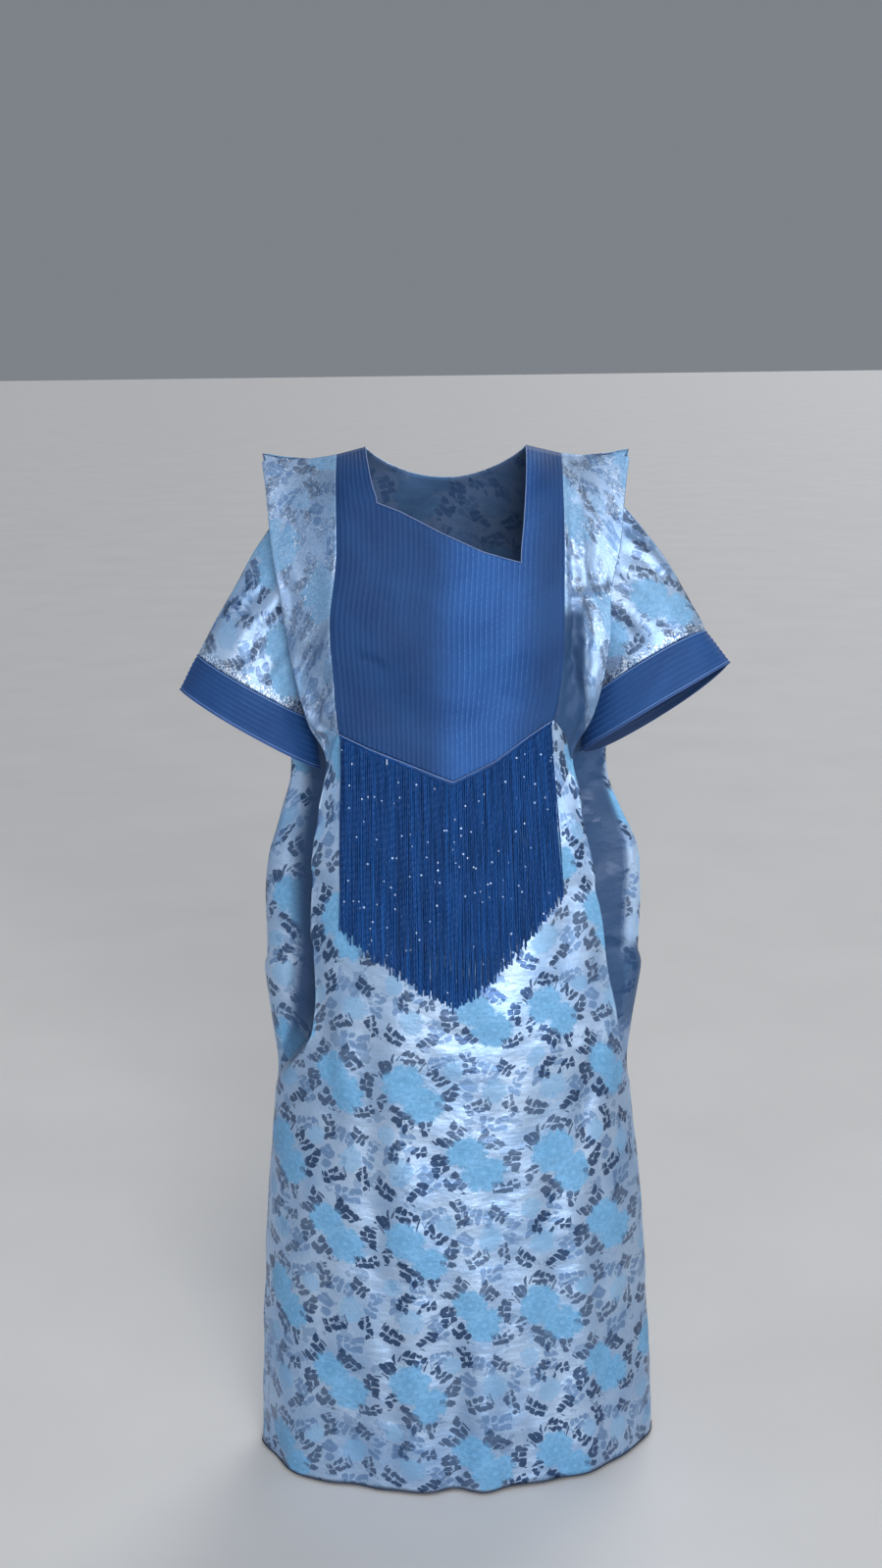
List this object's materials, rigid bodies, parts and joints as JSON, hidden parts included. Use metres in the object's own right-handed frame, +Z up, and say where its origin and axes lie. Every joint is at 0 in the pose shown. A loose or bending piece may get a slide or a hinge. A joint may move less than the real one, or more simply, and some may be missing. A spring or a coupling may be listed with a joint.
{
  "type": "grand boubou robe",
  "caption": "Floor-length brocade robe with standing shoulder flanges, flared sleeves, a pintucked blue bib and cuffs, and a bead fringe hanging from the bib's pointed seam.",
  "frame": {"origin": "middle of the shoulder line, level with the ridges of the shoulder flanges, where the wearer's shoulders carry the robe", "axes": "+X to the wearer's left, +Y to the wearer's back, +Z up; the front faces -Y"},
  "size_m": [0.7341, 0.2877, 1.4631],
  "materials": {
    "brocade": "satin jacquard, silver-lavender ground with sky-blue blossoms and slate leaves",
    "pintuck_blue": "matt royal blue, pintucked",
    "bead_blue": "royal blue seed beads with scattered crystals"
  },
  "bodies": {
    "root": {"front_bib": "pintuck_blue", "front_skirt": "brocade", "back": "brocade", "side_front_left": "brocade", "side_front_right": "brocade", "sleeve_left": "brocade", "sleeve_right": "brocade", "cuff_left": "pintuck_blue", "cuff_right": "pintuck_blue", "fringe": "bead_blue"}
  },
  "joints": []
}
